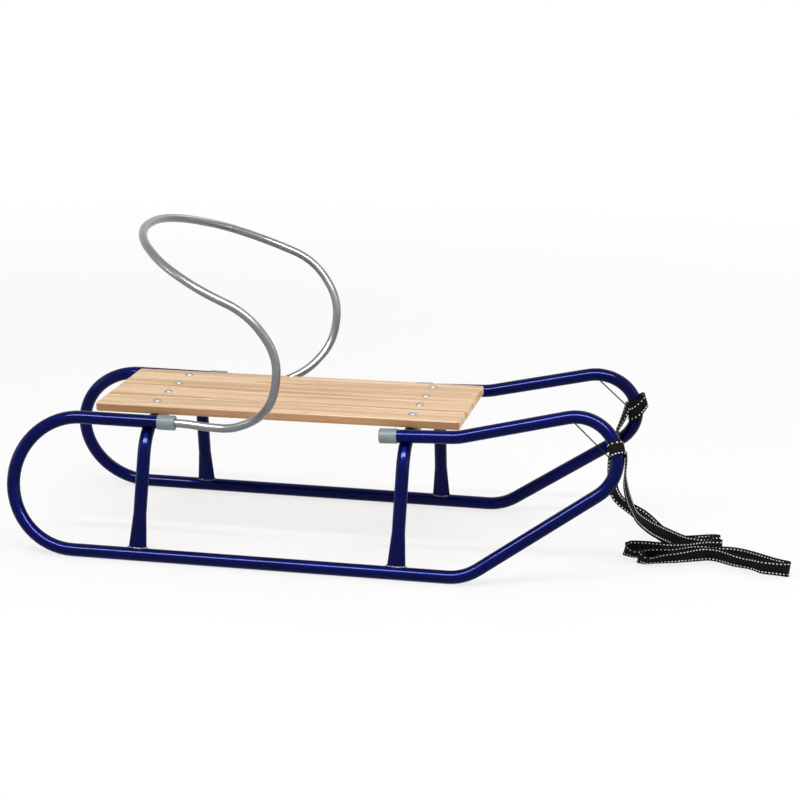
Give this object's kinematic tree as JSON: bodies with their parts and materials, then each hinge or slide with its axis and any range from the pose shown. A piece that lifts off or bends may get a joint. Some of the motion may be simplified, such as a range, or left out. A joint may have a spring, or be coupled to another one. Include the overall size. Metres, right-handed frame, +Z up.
{
  "type": "snow sled with back hoop",
  "caption": "Steel-tube snow sled with a slatted wooden seat, curled runners, a plug-in bent-tube back hoop and a folded webbing tow strap.",
  "frame": {"origin": "on the ground under the middle of the frame, the tow strap left out", "axes": "+X to the front, the way the sled is towed, +Y to its left, +Z up"},
  "size_m": [1.3037, 0.5228, 0.5367],
  "materials": {
    "blue_paint": "gloss metallic dark blue",
    "silver_paint": "satin silver grey",
    "grey_plastic": "matte moulded",
    "pine": "clear-lacquered light pine",
    "black_webbing": "woven strap with pale dashed stitching",
    "black_cord": "thin braided cord",
    "zinc": "zinc-plated bolt heads"
  },
  "bodies": {
    "sled": {"side_tube_left": "blue_paint", "hoop_socket_left": "grey_plastic", "end_cap_left": "grey_plastic", "tow_loop_left": "black_webbing", "tow_strap_left": "black_webbing", "loop_stay_left": "black_cord", "side_tube_right": "blue_paint", "hoop_socket_right": "grey_plastic", "end_cap_right": "grey_plastic", "tow_loop_right": "black_webbing", "tow_strap_right": "black_webbing", "loop_stay_right": "black_cord", "rear_arch": "blue_paint", "front_arch": "blue_paint", "seat_slat_1": "pine", "seat_slat_2": "pine", "seat_slat_3": "pine", "seat_slat_4": "pine", "tow_strap_folds": "black_webbing"},
    "back_hoop": {"back_hoop": "silver_paint"}
  },
  "joints": [
    {"name": "back_hoop_pulls_out", "type": "slide", "parent": "sled", "child": "back_hoop", "axis": [1, 0, 0], "range_m": [0, 0.07]}
  ]
}
